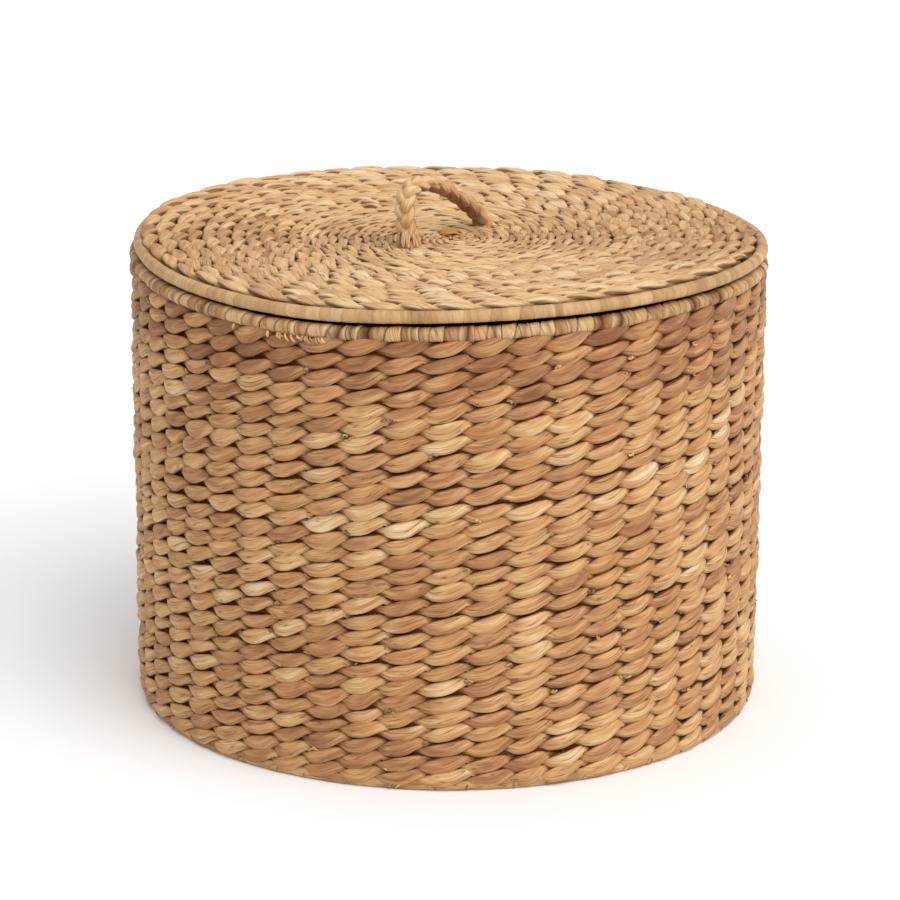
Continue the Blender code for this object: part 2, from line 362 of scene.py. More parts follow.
def twined_strand(weave, twist, place, count, parity, size, seed, steps, sides, shade):
    """One strand of a twined pair, round `count` stakes. place(t) gives the centre of the pair, its
    outward direction and its sideways direction at stake coordinate t. size scales the strand, and
    shade is added to its tone. The factors of the noises are how much one strand differs from the
    next."""
    t = np.arange(count * steps) / steps
    phase = math.pi * (t + parity)
    centre, out, side = place(t)
    cosine, sine = np.cos(phase), np.sin(phase)
    outness = np.abs(cosine) ** (0.82 + 0.25 * np.sin(2 * phase))
    fuller, prouder, steeper = (smooth_noise(t, seed + index, count) for index in (0, 1, 3))
    slow = smooth_noise(t * 0.5, seed + 2, max(1, count // 2))
    radial = twist.swing * size * np.sign(cosine) * np.abs(cosine) ** 0.62 * (1 + 0.16 * prouder)
    steep = twist.climb * (sine - 0.08 * np.sin(3 * phase)) * (1 + 0.28 * steeper)
    climb = size * (steep + twist.rise * sine ** 2 + 0.0006 * steeper)
    centre = centre + out * radial[:, None] + side * climb[:, None]
    fullness = 1 + 0.07 * slow + 0.12 * fuller
    wide = mix(twist.cross[0], twist.over[0], outness) * fullness * size
    thick = mix(twist.cross[1], twist.over[1], outness) * (1 + 0.10 * prouder) * size
    turn = (twist.roll * np.arcsin(sine) + 0.20 * steeper)[:, None]
    flat_out = out * np.cos(turn) + side * np.sin(turn)
    flat_side = side * np.cos(turn) - out * np.sin(turn)
    along = run_of(centre)
    folds = fold_pattern(along, sides, seed, FOLD_STRENGTH)
    rings = strand_rings(centre, flat_side, flat_out, sides, wide, thick, folds)
    proud = ((rings - centre[:, None]) * out[:, None]).sum(axis=2) + radial[:, None]
    # Painted shade: the strand darkens where its surface lies back, near the middle of the wall, and
    # along its edges, where it meets the strands beside it.
    edge_shade = 0.95 * (1 - smooth_step(0.0, 0.46, np.abs(np.sin(full_turn(sides)))))
    painted_shade = np.maximum(1 - smooth_step(0.0003 * size, 0.0030 * size, np.abs(proud)), edge_shade)
    tone = 0.40 * smooth_noise(t / 4.0, seed + 6, max(2, count // 4)) + 0.52 * prouder + shade
    weave.tube(rings, along, tints(tone[:, None], painted_shade), seed % 97, closed=True)


# --------------------------------------------------
# Materials
# --------------------------------------------------
class NodeMaterial:
    """A material built of nodes round one Principled shader."""

    def __init__(self, name):
        self.material = bpy.data.materials.new(name)
        self.material.use_nodes = True
        self.nodes, self.links = self.material.node_tree.nodes, self.material.node_tree.links
        self.shader = self.nodes["Principled BSDF"]

    def feed(self, node, values):
        """Set or link a node's inputs, by name or number."""
        for key, value in values.items():
            if isinstance(value, bpy.types.NodeSocket):
                self.links.new(value, node.inputs[key])
            else:
                node.inputs[key].default_value = value
        return node

    def attribute(self, name, output):
        node = self.nodes.new("ShaderNodeAttribute")
        node.attribute_name = name
        return node.outputs[output]

    def maths(self, operation, *values):
        node = self.nodes.new("ShaderNodeMath")
        node.operation = operation
        return self.feed(node, dict(enumerate(values))).outputs[0]

    def ramp(self, source, stops):
        node = self.nodes.new("ShaderNodeValToRGB")
        while len(node.color_ramp.elements) < len(stops):
            node.color_ramp.elements.new(0.5)
        for element, (position, colour) in zip(node.color_ramp.elements, stops):
            element.position = position
            element.color = (*colour, 1.0)
        return self.feed(node, {"Fac": source}).outputs["Color"]

    def cover(self, colour, share, paint):
        """A colour with a share of paint over it."""
        node = self.nodes.new("ShaderNodeMix")
        node.data_type = "RGBA"
        return self.feed(node, {0: share, 6: colour, 7: (*paint, 1.0)}).outputs[2]

    def noise(self, vector, scale, detail, roughness=0.5):
        node = self.nodes.new("ShaderNodeTexNoise")
        values = {"Vector": vector, "Scale": scale, "Detail": detail, "Roughness": roughness}
        return self.feed(node, values).outputs["Fac"]

    def stretched_noise(self, vector, stretch, detail, roughness):
        """Noise over a strand, stretched by different amounts along and around it."""
        node = self.nodes.new("ShaderNodeVectorMath")
        node.operation = "MULTIPLY"
        self.feed(node, {0: vector, 1: stretch})
        return self.noise(node.outputs[0], 1.0, detail, roughness)

    def bump(self, height, strength, distance):
        node = self.nodes.new("ShaderNodeBump")
        self.feed(node, {"Height": height, "Strength": strength, "Distance": distance})
        self.feed(self.shader, {"Normal": node.outputs["Normal"]})


BLACK, WHITE = (0.0, 0.0, 0.0), (1.0, 1.0, 1.0)
RED_PATCH = (0.42, 0.150, 0.045)
CREASE_SHADE_BROWN = (0.190, 0.066, 0.022)
SHADOW_BROWN = (0.070, 0.014, 0.002)


def seagrass_material(name, stops, red_share, crease_shade_share, shadow_share, roughness):
    """Dried seagrass: straw tones by strand, fine fibres along it and red-brown patches, with painted
    shade along its creases and painted shadow in its depths.
    """
    grass = NodeMaterial(name)
    fibre, painted_shade = grass.attribute("fibre", "Vector"), grass.attribute("painted_shade", "Fac")
    patches = grass.stretched_noise(fibre, (42.0, 210.0, 7.3), 2.0, 0.60)
    streaks = grass.stretched_noise(fibre, (48.0, 1350.0, 3.1), 3.0, 0.62)
    folds = grass.stretched_noise(fibre, (17.0, 300.0, 11.9), 1.0, 0.45)
    tone = grass.maths("MULTIPLY_ADD", grass.attribute("tone", "Fac"), 0.23, -0.05)
    tone = grass.maths("MULTIPLY_ADD", patches, 0.74, tone)
    tone = grass.maths("MULTIPLY_ADD", streaks, 0.40, tone)
    red = grass.ramp(folds, ((0.60, BLACK), (0.72, WHITE)))
    # Painted shade along the creases: thin lines where the fold noise crosses a level, darkened in colour
    # and also bumped in.
    crease = grass.maths("ABSOLUTE", grass.maths("SUBTRACT", folds, 0.44))
    crease = grass.ramp(crease, ((0.0, WHITE), (0.022, BLACK)))
    crease = grass.maths("MULTIPLY", crease, crease_shade_share)
    colour = grass.cover(grass.ramp(tone, stops), grass.maths("MULTIPLY", red, red_share), RED_PATCH)
    colour = grass.cover(colour, crease, CREASE_SHADE_BROWN)
    # Painted shadow: the colour goes toward shadow brown by each point's share of painted shade, and the
    # specular level falls with it.
    colour = grass.cover(colour, grass.maths("MULTIPLY", painted_shade, shadow_share), SHADOW_BROWN)
    grass.feed(grass.shader, {
        "Base Color": colour,
        "Specular IOR Level": grass.maths("MULTIPLY_ADD", painted_shade, -0.28, 0.30),
        "Roughness": grass.maths("MULTIPLY_ADD", streaks, 0.30, roughness - 0.15),
    })
    grass.bump(grass.maths("MULTIPLY_ADD", crease, -0.35, streaks), 0.8, 0.0007)
    return grass.material


def wire_material(name):
    """Plain drawn steel wire, dulled and a little browned."""
    steel = NodeMaterial(name)
    place = steel.nodes.new("ShaderNodeTexCoord").outputs["Object"]
    mottle = steel.noise(place, 180.0, 4.0)
    steel.feed(steel.shader, {
        "Base Color": steel.ramp(mottle, ((0.35, (0.060, 0.042, 0.030)), (0.65, (0.130, 0.105, 0.085)))),
        "Roughness": steel.maths("MULTIPLY_ADD", mottle, 0.3, 0.45),
        "Metallic": 0.40,
        "Specular IOR Level": 0.15,
    })
    steel.bump(mottle, 0.3, 0.0002)
    return steel.material


WEAVE_STOPS = (
    (0.16, (0.240, 0.094, 0.036)),
    (0.36, (0.390, 0.182, 0.076)),
    (0.50, (0.540, 0.285, 0.114)),
    (0.66, (0.670, 0.405, 0.180)),
    (0.84, (0.820, 0.630, 0.400)),
)
LID_STOPS = (
    (0.12, (0.230, 0.105, 0.042)),
    (0.30, (0.460, 0.250, 0.108)),
    (0.50, (0.650, 0.395, 0.185)),
    (0.66, (0.750, 0.490, 0.250)),
    (0.84, (0.840, 0.620, 0.370)),
)
RIM_STOPS = (
    (0.16, (0.190, 0.076, 0.028)),
    (0.34, (0.400, 0.205, 0.086)),
    (0.52, (0.600, 0.360, 0.162)),
    (0.84, (0.760, 0.530, 0.300)),
)
EDGE_STOPS = (
    (0.10, (0.360, 0.195, 0.080)),
    (0.35, (0.500, 0.290, 0.125)),
    (0.60, (0.590, 0.365, 0.170)),
    (0.90, (0.690, 0.470, 0.250)),
)
KNOT_STOPS = (
    (0.20, (0.330, 0.160, 0.035)),
    (0.50, (0.560, 0.310, 0.080)),
    (0.80, (0.700, 0.440, 0.150)),
)
PLAIT_STOPS = (
    (0.14, (0.400, 0.190, 0.080)),
    (0.34, (0.640, 0.370, 0.180)),
    (0.52, (0.740, 0.485, 0.250)),
    (0.84, (0.840, 0.640, 0.390)),
)


# --------------------------------------------------
# The woven pieces
# --------------------------------------------------
STRAND_SIDES = 14
CORNER_RADIUS = 0.007
WALL_LEAN = 0.0010
# Size and set-back of the dark fillers of painted shade behind the lines between courses.
SHADE_FILLER_RADIUS = 0.0025
SHADE_FILLER_INSET = 0.0008
# The wall darkens between these heights.
DARK_FROM, DARK_TO = 0.245, 0.300


def course_radius(height):
    """Radius of a wall course: nearly upright, and tucked in at the foot."""
    radius = STAKE_CIRCLE - WALL_LEAN * (1 - height / WALL_TOP)
    if height < CORNER_RADIUS:
        radius -= CORNER_RADIUS - math.sqrt(CORNER_RADIUS ** 2 - (CORNER_RADIUS - height) ** 2)
    return radius


def course_sizes():
    """Middle height and thickness of each course; they are not all equally thick."""
    thickness = 1 + 0.07 * np.random.default_rng(11).uniform(-1, 1, COURSES)
    thickness *= (WALL_TOP - WALL_FOOT) / thickness.sum()
    return WALL_FOOT + np.cumsum(thickness) - thickness / 2, thickness


def stake_sway(t, height):
    """How far each stake has wandered round the wall at a height, in stakes."""
    level = height / WALL_TOP * 5
    lower = int(level)
    first = smooth_noise(t * 0.5, 400 + lower, STAKES // 2)
    second = smooth_noise(t * 0.5, 401 + lower, STAKES // 2)
    return 0.10 * mix(first, second, smooth_step(0.0, 1.0, level - lower))


def wall_place(height, radius, seed):
    """The path of one wall course round the stakes."""
    def place(t):
        wander = 0.09 * smooth_noise(t / 2, seed + 7, STAKES // 2)
        out = directions(2 * math.pi * (t + 0.5 + stake_sway(t, height) + wander) / STAKES)
        drift = 0.0009 * smooth_noise(t / 5, seed, STAKES // 5)
        drift = drift + 0.0005 * smooth_noise(t, seed + 1, STAKES)
        sway = 0.0006 * smooth_noise(t / 2, seed + 2, STAKES // 2)
        centre = out * (radius + sway)[:, None]
        centre[:, 2] = height + drift
        return centre, out, np.broadcast_to(UP, out.shape)
    return place


def add_shade_filler(weave, radius, height, seed):
    """A dark tube behind the line between two courses, closing the gap; its colour is painted shade."""
    turn, beta = full_turn(150), full_turn(6)
    size = SHADE_FILLER_RADIUS + 0.0003 * smooth_noise(turn * 24, seed + 8)[:, None]
    wander = 0.0008 * smooth_noise(turn * 16, seed + 9)[:, None]
    rings = hoop_rings(turn, radius + size * np.cos(beta), height + wander + size * np.sin(beta))
    # Painted shade: every point of the filler takes the full share of the shadow colour.
    weave.tube(rings, turn * radius, tints(0.0, 1.0), seed % 97, closed=True)


def build_wall(material):
    """The courses of the wall, which are darker towards the rim."""
    for course, (height, thickness) in enumerate(zip(*course_sizes())):
        weave = Weave()
        size = thickness / STANDARD_PITCH
        seed = 100 + 10 * course
        radius = course_radius(height)
        place = wall_place(height, radius, seed)
        shade = -0.7 * smooth_step(DARK_FROM, DARK_TO, height)
        for parity in (0, 1):
            twined_strand(weave, WALL_TWIST, place, STAKES, parity, size, seed + 4 * parity + 3000, 10,
                          STRAND_SIDES, shade)
        add_shade_filler(weave, radius - SHADE_FILLER_INSET, height - thickness / 2, seed)
        piece = weave.finish("wall_course_%02d" % (course + 1), material, settle_basket)
        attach(piece, "basket")
        if course == 0:
            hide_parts("wall_weave")


def disc_place(radius, height, count, seed):
    """The path of one round of the lid or the base."""
    offset = 0.42 * smooth_noise(np.array(seed / 10.0), 5)
    half = max(2, count // 2)

    def place(t):
        wander = 0.16 * smooth_noise(t / 2, seed + 3, half)
        radial = directions(2 * math.pi * (t + 0.5 + offset + wander) / count)
        sway = 0.0005 * smooth_noise(t / 2, seed, half)
        centre = radial * (radius + sway)[:, None]
        centre[:, 2] = height + 0.0005 * smooth_noise(t, seed + 1, count)
        return centre, np.broadcast_to(UP, radial.shape), radial
    return place


def round_radii(outer, inner, wide_pitch, narrow_pitch, wide_rounds):
    """Radii of a disc's rounds, from the outside in, getting closer together towards the centre."""
    radii = [outer]
    while radii[-1] > inner:
        done = len(radii)
        pitch = wide_pitch
        if done > wide_rounds:
            pitch = mix(narrow_pitch, wide_pitch, (radii[-1] - inner) / (outer - inner) * 0.9)
        radii.append(radii[-1] - pitch)
    return radii[:-1]


def spokes_at(radius):
    """How many stakes the pair is twined round at a distance from the centre."""
    if radius > 0.108:
        return 48
    if radius > 0.046:
        return 24
    return 12


def build_disc(name, body, material, height, radii, settle, swell, steps, sides, group, first_seed):
    """The rounds of the lid or the base, `group` of them to a piece. swell lifts the outermost ones."""
    pieces = []
    for first in range(0, len(radii), group):
        weave = Weave()
        for index in range(first, min(first + group, len(radii))):
            radius = radii[index]
            following = radii[index + 1] if index + 1 < len(radii) else radius * 0.6
            before = radii[index - 1] if index else radius + (radius - following)
            size = (before - following) / 2 / STANDARD_PITCH * 1.03
            count = spokes_at(radius)
            seed = first_seed + 10 * index
            place = disc_place(radius, height + swell * smooth_step(0.120, 0.200, radius), count, seed)
            # Painted sheen and shade: the rounds are paler at the front and back and darker at the left
            # and right, as the sheen of their strands changes with the way they run.
            shade = 0.9 * (np.abs(np.sin(full_turn(count * steps))) - 0.55)
            for parity in (0, 1):
                twined_strand(weave, LID_TWIST, place, count, parity, size, seed + 4 * parity, steps,
                              sides, shade)
        piece = weave.finish("%s_%02d" % (name, first // group + 1), material, settle)
        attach(piece, body)
        pieces.append(piece)
    return pieces


def build_lid(material):
    radii = round_radii(outer=LID_WEAVE_RADIUS - 0.0044, inner=0.0035, wide_pitch=0.0099,
                        narrow_pitch=0.0042, wide_rounds=10)
    pieces = build_disc("lid_round", "lid", material, LID_MIDDLE + 0.0008, radii, settle_rounds,
                        swell=0.0026, steps=10, sides=STRAND_SIDES, group=1, first_seed=7009)
    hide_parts("lid_weave")


def build_base(material):
    radii = round_radii(outer=BASE_BOX[1].x - 0.0050, inner=0.012, wide_pitch=0.0108,
                        narrow_pitch=0.0080, wide_rounds=12)
    height = (BASE_BOX[0].z + BASE_BOX[1].z) / 2 + 0.0014
    pieces = build_disc("base_round", "basket", material, height, radii, None,
                        swell=0.0, steps=6, sides=8, group=3, first_seed=7010)
    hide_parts("base_weave")


# The corners of a wound strip's section, as shares of its width, and how much it slants.
STRIP_PLACES = np.array([0.0, 0.09, 0.5, 0.91])
STRIP_SLANT = 0.30


def wound_roll(name, body, material, settle, ring, pitches, relief, groove, seed):
    """A strip wound round a hoop. ring is the roll's middle radius and height, its half width and half
    height; pitches are the least and greatest widths of a turn of the strip; relief is how much the
    turns differ in height, and groove is how deep the lines between them are and how much painted
    shade darkens them."""
    radius, height, half_width, half_height = ring
    generator = np.random.default_rng(seed)
    length = 2 * math.pi * radius
    widths = mix(pitches[0], pitches[1], generator.random(int(2 * length / sum(pitches))) ** 1.4)
    wraps = len(widths)
    widths *= length / widths.sum()
    starts = np.concatenate([[0.0], np.cumsum(widths)])
    sides = 18
    wrap = np.repeat(np.arange(wraps), len(STRIP_PLACES))
    within = np.tile(STRIP_PLACES, wraps)
    beta = full_turn(sides)
    column = (wrap + within)[:, None] + (beta / (2 * math.pi))[None, :]
    index = np.floor(column).astype(int)
    share = column - index
    arc = starts[index % wraps] + share * widths[index % wraps] + (index // wraps) * length
    lift = relief * generator.uniform(-1, 1, wraps)
    dip = groove[0] * generator.random(wraps)
    shade = groove[1] * mix(0.35, 1.0, generator.random(wraps))
    crease = generator.random(wraps) ** 2
    places = [within == 0.0, within < 0.5, within == 0.5]
    raised = np.select(places, [-dip[wrap], -relief * 0.3, -0.5 * dip[wrap] * crease[wrap]], relief * 0.5)
    swell = 1 + 0.04 * smooth_noise(starts[:-1] * 30, seed + 1)[wrap]
    offset = (raised + lift[wrap])[:, None] + relief * 0.4 * smooth_noise(column * 1.3, seed + 2)
    turn = beta[None, :] - 0.6 * math.pi
    across = (half_width * swell[:, None] + offset) * np.cos(turn)
    up = (half_height * swell[:, None] + offset) * np.sin(turn)
    sway = 0.0005 * smooth_noise(arc * 14, seed + 3)
    theta = (arc - STRIP_SLANT * up) / radius
    rings = np.stack([
        (radius + across) * np.cos(theta), (radius + across) * np.sin(theta), height + up + sway,
    ], axis=2)
    fibre = np.zeros(rings.shape)
    fibre[:, :, 0] = beta[None, :] * half_height + wrap[:, None] * 0.031
    fibre[:, :, 1] = arc
    fibre[:, :, 2] = wrap[:, None] * 0.37
    tone = 0.95 * generator.uniform(-1, 1, wraps)[wrap] + 0.40 * smooth_noise(arc[:, 0] * 9, seed + 5)
    # Painted shade: the lines between the turns, and the fold across the middle of each turn, are
    # darkened by the groove's share.
    painted_shade = np.select(places[::2], [shade[wrap], groove[1] * crease[wrap]], 0.0)
    weave = Weave()
    weave.tube(rings, arc[:, 0], tints(tone[:, None], painted_shade[:, None]), closed=True,
               shift=len(STRIP_PLACES), fibre=fibre)
    piece = weave.finish(name, material, settle)
    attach(piece, body)
    return piece


def build_bindings(rim_material, edge_material):
    rim = (STAKE_CIRCLE, RIM_HEIGHT, RIM_RADIUS - STAKE_CIRCLE - 0.0006, 0.0049)
    strip = wound_roll("rim_wrap", "basket", rim_material, settle_basket, rim,
                       pitches=(0.0040, 0.0150), relief=0.00035, groove=(0.0016, 1.0), seed=21)
    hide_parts("rim_binding")
    edge = (LID_HOOP, (EDGE_BOX[1].z + EDGE_BOX[0].z) / 2 + 0.0006, 0.0043, 0.0044)
    strip = wound_roll("lid_edge_wrap", "lid", edge_material, settle_lid, edge,
                       pitches=(0.0035, 0.0110), relief=0.00005, groove=(0.0002, 0.22), seed=43)
    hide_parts("lid_binding")


# --------------------------------------------------
# The handle
# --------------------------------------------------
# The plait's middle line, as shares of the way between its feet and heights above the lid.
ARCH_POINTS = (
    (0.00, -0.0040), (0.00, 0.0060), (-0.03, 0.0165), (-0.04, 0.0280), (0.00, 0.0375), (0.10, 0.0412),
    (0.24, 0.0402), (0.39, 0.0362), (0.53, 0.0304), (0.68, 0.0226), (0.83, 0.0135), (0.95, 0.0050),
    (1.00, -0.0040),
)
FOOT_SHIFT = np.array([-0.0035, 0.0030, 0.0])
PLAIT_TURNS = 4.4
PLAIT_SWING = 0.0038
PLAIT_OVER = 0.0026
PLAIT_HALF_WIDTH = 0.0037
PLAIT_HALF_THICKNESS = 0.0028
KNOT_TURNS = 2.3
KNOT_RADIUS = 0.0052
KNOT_HEIGHT = 0.0080
KNOT_HALF_WIDTH = 0.0030
KNOT_HALF_THICKNESS = 0.0022


def tail_centre(label):
    low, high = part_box("handle_tail_" + label)
    return np.array([(low.x + high.x) / 2, (low.y + high.y) / 2, 0.0])


def build_handle(material):
    """Three plaited strands in a lopsided arch, whose feet go down into the lid."""
    foot_a, foot_b = tail_centre("a"), tail_centre("b") + FOOT_SHIFT
    chord = foot_b - foot_a
    path = [foot_a + chord * share + UP * (LID_TOP + height) for share, height in ARCH_POINTS]
    sideways = np.array([chord[1], -chord[0], 0.0]) / np.linalg.norm(chord)
    sides = 16
    shares = np.linspace(0, 1, 220)
    middle = smooth_curve(path, shares)
    run = unit(np.gradient(middle, axis=0))
    outward = np.cross(np.broadcast_to(sideways, run.shape), run)
    length = run_of(middle)
    for strand in range(3):
        turn = 2 * math.pi * (PLAIT_TURNS * shares + strand / 3)
        across, over = PLAIT_SWING * np.sin(turn), PLAIT_OVER * np.sin(2 * turn)
        centre = middle + sideways * across[:, None] + outward * over[:, None]
        direction = unit(np.gradient(centre, axis=0))
        flat = unit(outward - direction * (outward * direction).sum(axis=1, keepdims=True))
        wide_axis = np.cross(direction, flat)
        lean = 0.5 * np.cos(turn)[:, None]
        flat, wide_axis = (
            flat * np.cos(lean) + wide_axis * np.sin(lean),
            wide_axis * np.cos(lean) - flat * np.sin(lean),
        )
        seed = 900 + 7 * strand
        wide = PLAIT_HALF_WIDTH * (1 + 0.1 * smooth_noise(shares * 14, seed))
        thick = PLAIT_HALF_THICKNESS * (1 + 0.1 * smooth_noise(shares * 12, seed + 1))
        folds = fold_pattern(length, sides, seed, FOLD_STRENGTH)
        rings = strand_rings(centre, wide_axis, flat, sides, wide, thick, folds)
        away = np.linalg.norm(rings - middle[:, None], axis=2)
        below = -((rings - middle[:, None]) * outward[:, None]).sum(axis=2)
        # Painted shade: darker where the strands lie close to the middle of the plait, between each
        # other, and on the underside of the arch.
        painted_shade = 1 - smooth_step(0.0014, 0.0042, away)
        painted_shade = np.maximum(painted_shade, 0.6 * smooth_step(0.0010, 0.0034, below))
        # Painted shade: past the top of the arch the plait darkens down to its second foot, the side in
        # shadow.
        tone = -0.15 - 0.5 * smooth_step(0.35, 0.75, shares) + 0.9 * smooth_noise(shares * 11, seed + 2)
        weave = Weave()
        weave.tube(rings, length, tints(tone[:, None], painted_shade), seed % 97)
        splay_ends(weave, foot_a, 2 * math.pi * strand / 3, seed)
        piece = weave.finish("handle_plait_%d" % (strand + 1), material, settle_lid)
        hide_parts("handle_strand_%d" % (strand + 1))
        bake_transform(piece)


def splay_ends(weave, foot, turn, seed):
    """Ends of the grass folded out where the plait goes down into the lid."""
    generator = np.random.default_rng(seed)
    base = foot + UP * LID_TOP
    for number in range(4):
        out, _ = outward_and_along(turn + 2 * math.pi * number / 12 + generator.uniform(-0.2, 0.2))
        points = [
            base + out * 0.0025 + UP * generator.uniform(0.0120, 0.0165),
            base + out * 0.0058 + UP * 0.0105,
            base + out * 0.0074 + UP * 0.0050,
            base + out * generator.uniform(0.0070, 0.0095) - UP * 0.0006,
        ]
        bent_strip(weave, points, generator.uniform(0.0013, 0.0022), 0.0007, seed + number,
                   generator.uniform(-0.8, 0.4), 12, 8, out)


def build_tails(material):
    """The knots of the handle under the lid: a tail turned round itself."""
    share = np.linspace(0, 1, 120)
    turn = 2 * math.pi * KNOT_TURNS * share
    reach = KNOT_RADIUS * np.sin(math.pi * np.clip(share * 1.05, 0, 1)) ** 0.4
    height = LID_FLOOR + 0.0012 - KNOT_HEIGHT * share
    taper = 1 - 0.75 * smooth_step(0.85, 1.0, share)
    sides = 10
    for label in ("a", "b"):
        path = tail_centre(label) + directions(turn) * reach[:, None] + UP * height[:, None]
        direction = unit(np.gradient(path, axis=0))
        flat = unit(np.cross(direction, UP))
        length = run_of(path)
        rings = strand_rings(path, np.cross(direction, flat), flat, sides, KNOT_HALF_WIDTH * taper,
                             KNOT_HALF_THICKNESS * taper, fold_pattern(length, sides, 77, 0.08))
        weave = Weave()
        weave.tube(rings, length, seed=31)
        piece = weave.finish("handle_knot_" + label, material, settle_lid)
        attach(piece, "lid")
        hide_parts("handle_tail_" + label)


# --------------------------------------------------
# Loose ends
# --------------------------------------------------
SCRAPS = 330
STRAY_FIBRES = 26
FRAYS = 16
FRAYS_FROM, FRAYS_TO = -131, -111
FOOT_STRIP_RADIUS = 0.2190
FOOT_STRIP_HEIGHT = 0.0039


def bent_strip(weave, points, wide, thick, seed, tone, stations, sides, face=UP):
    """A short flat length of grass through a few points, pointed at its ends."""
    share = np.linspace(0, 1, stations)
    path = smooth_curve(points, share)
    direction = unit(np.gradient(path, axis=0))
    wide_axis = unit(np.cross(direction, np.broadcast_to(face, direction.shape)))
    taper = 0.35 + 0.65 * np.sin(math.pi * share) ** 0.5
    rings = strand_rings(path, wide_axis, np.cross(wide_axis, direction), sides, wide * taper,
                         thick * taper, 1.0)
    weave.tube(rings, run_of(path), tints(tone, 0.0), seed % 97)


def build_scraps(material):
    """Crumpled cut ends left between the strands of the wall, and a few stray fibres."""
    generator = np.random.default_rng(61)
    heights, thickness = course_sizes()
    weave = Weave()
    for number in range(SCRAPS):
        course = generator.integers(1, COURSES)
        stake = generator.integers(0, STAKES)
        angle = 2 * math.pi * (stake + 0.5 + 0.62 + 0.16 * generator.uniform(-1, 1)) / STAKES
        out, along = outward_and_along(angle)
        reach = course_radius(heights[course]) + generator.uniform(0.0034, 0.0050)
        height = heights[course] - thickness[course] * generator.uniform(0.34, 0.60)
        middle = out * reach + UP * height
        for _ in range(generator.integers(1, 4)):
            bends = generator.uniform(-1, 1, (5, 3)) * np.array([0.0023, 0.0014, 0.0010])
            points = middle + bends[:, :1] * along + bends[:, 1:2] * UP + bends[:, 2:] * out
            points += along * np.linspace(-0.0012, 0.0012, 5)[:, None]
            bent_strip(weave, points, generator.uniform(0.0004, 0.0010), 0.0003, number,
                       generator.uniform(-1.6, 0.8), 10, 5, out)
    for number in range(STRAY_FIBRES):
        out, along = outward_and_along(generator.uniform(0, 2 * math.pi))
        start = out * (STAKE_CIRCLE + 0.0045) + UP * generator.uniform(0.02, 0.30)
        end = start + out * generator.uniform(0.0008, 0.0030) + along * generator.uniform(-0.006, 0.006)
        end = end + UP * generator.uniform(-0.006, 0.004)
        middle = (start + end) / 2 + out * 0.0006
        bent_strip(weave, [start, middle, end], 0.0003, 0.0002, number,
                   generator.uniform(-1.0, 1.0), 7, 5)
    piece = weave.finish("wall_scraps", material, settle_basket)
    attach(piece, "basket")


def build_frays(material):
    """The cut ends of the rim's strip, hanging under it at the front left."""
    generator = np.random.default_rng(62)
    weave = Weave()
    for _ in range(FRAYS):
        out, along = outward_and_along(math.radians(generator.uniform(FRAYS_FROM, FRAYS_TO)))
        start = out * (STAKE_CIRCLE + 0.0060) + UP * (RIM_BOX[0].z - 0.0005)
        drop = UP * -generator.uniform(0.0022, 0.0058)
        lean = along * generator.uniform(-0.0035, 0.0050)
        points = [
            start, start + drop * 0.5 + lean * 0.3 + out * 0.0008, start + drop + lean + out * 0.0003,
        ]
        bent_strip(weave, points, generator.uniform(0.0006, 0.0014), 0.0003, 17,
                   generator.uniform(-0.6, 1.5), 7, 5, out)
    piece = weave.finish("rim_frays", material, settle_basket)
    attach(piece, "basket")


def build_foot_strip(material):
    """The flat strip that the last course stands on, and the cut ends tucked over it."""
    weave = Weave()
    turn = full_turn(300)
    radius = FOOT_STRIP_RADIUS + 0.0003 * smooth_noise(turn * 20, 71)
    across, up = section(full_turn(8), 0.0013, 0.0036, 1.0)
    rings = hoop_rings(turn, radius[:, None] + across[None, :], FOOT_STRIP_HEIGHT + up)
    fibre = np.zeros(rings.shape)
    fibre[:, :, 0] = turn[:, None] * FOOT_STRIP_RADIUS
    fibre[:, :, 1] = 0.003 + up
    fibre[:, :, 2] = 5.0
    tone = -0.25 + 0.6 * smooth_noise(turn * 24, 72)
    weave.tube(rings, turn * FOOT_STRIP_RADIUS, tints(tone[:, None], 0.0), closed=True, fibre=fibre)
    generator = np.random.default_rng(63)
    for stake in range(STAKES):
        angle = 2 * math.pi * (stake + 0.02 + 0.12 * generator.uniform(-1, 1)) / STAKES
        out, along = outward_and_along(angle)
        for _ in range(generator.integers(1, 4)):
            start = out * (FOOT_STRIP_RADIUS + 0.0016) + UP * 0.0014
            start = start + along * generator.uniform(-0.0030, 0.0030)
            end = start + along * generator.uniform(-0.0015, 0.0045)
            end = end + UP * generator.uniform(0.0022, 0.0040)
            points = [start, (start + end) / 2 + out * 0.0006, end]
            bent_strip(weave, points, generator.uniform(0.0005, 0.0011), 0.0003, stake,
                       generator.uniform(-1.6, 0.5), 6, 5, out)
    piece = weave.finish("foot_strip", material)
    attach(piece, "basket")


def build_centre_knot(material):
    """The knot that the first round of the lid starts from."""
    generator = np.random.default_rng(64)
    weave = Weave()
    middle = np.array([0.0, 0.013, LID_MIDDLE + 0.0040])
    for number in range(5):
        turn = generator.uniform(0, 2 * math.pi)
        side = np.array([math.cos(turn) * 0.4, math.sin(turn), 0.0])
        place = middle + generator.uniform(-1, 1, 3) * np.array([0.003, 0.005, 0.0005])
        points = [
            place + np.array([-0.0070, 0.0, -0.0022]),
            place + side * 0.0030 + np.array([-0.0035, 0.0, 0.0004]),
            place + np.array([0.0030, 0.0, 0.0008]),
            place - side * 0.0035 + np.array([0.0070, 0.0, -0.0025]),
        ]
        bent_strip(weave, points, generator.uniform(0.0018, 0.0028), 0.0010, number,
                   generator.uniform(-0.3, 0.3), 12, 8)
    piece = weave.finish("lid_centre_knot", material, settle_lid)
    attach(piece, "lid")


